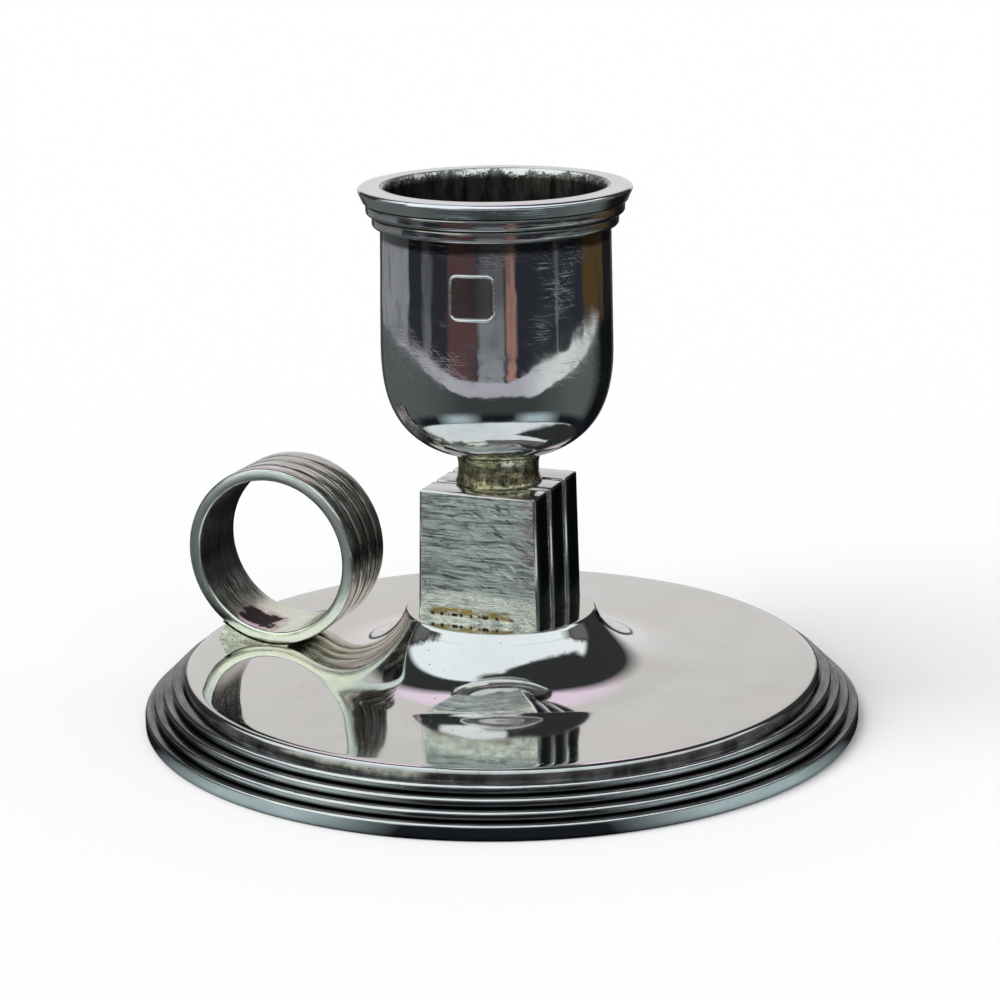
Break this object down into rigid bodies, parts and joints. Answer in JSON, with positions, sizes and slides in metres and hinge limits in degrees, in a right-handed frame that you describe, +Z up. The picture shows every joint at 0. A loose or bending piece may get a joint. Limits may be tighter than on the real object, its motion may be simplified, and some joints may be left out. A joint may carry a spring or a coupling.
{
  "type": "chamber taperstick",
  "caption": "Small round silver candle holder: dished base with stepped wire border, stem of upright plates, round-bottomed socket with reeded lip, and a finger ring at the side.",
  "frame": {"origin": "middle of the foot's underside, on the axis of the base and the socket", "axes": "+Z up through the socket, -X towards the finger ring, -Y towards the front plate of the stem"},
  "size_m": [0.074, 0.074, 0.055],
  "materials": {
    "silver_polished": "polished silver with fine wear scratches",
    "silver_filed": "silver plate with file marks across the face",
    "silver_tarnished": "silver with yellow tarnish"
  },
  "bodies": {
    "root": {"base_dish": "silver_polished", "pedestal_cap": "silver_polished", "foot_ring": "silver_polished", "border_wire_lower": "silver_polished", "border_wire_middle": "silver_polished", "border_wire_upper": "silver_polished", "socket_cup": "silver_polished", "socket_lip": "silver_polished", "socket_reed_upper": "silver_polished", "socket_reed_lower": "silver_polished", "handle_ring": "silver_polished", "front_slab": "silver_filed", "middle_slab": "silver_filed", "rear_slab": "silver_filed", "stem_neck": "silver_tarnished", "handle_saddle": "silver_tarnished"}
  },
  "joints": []
}
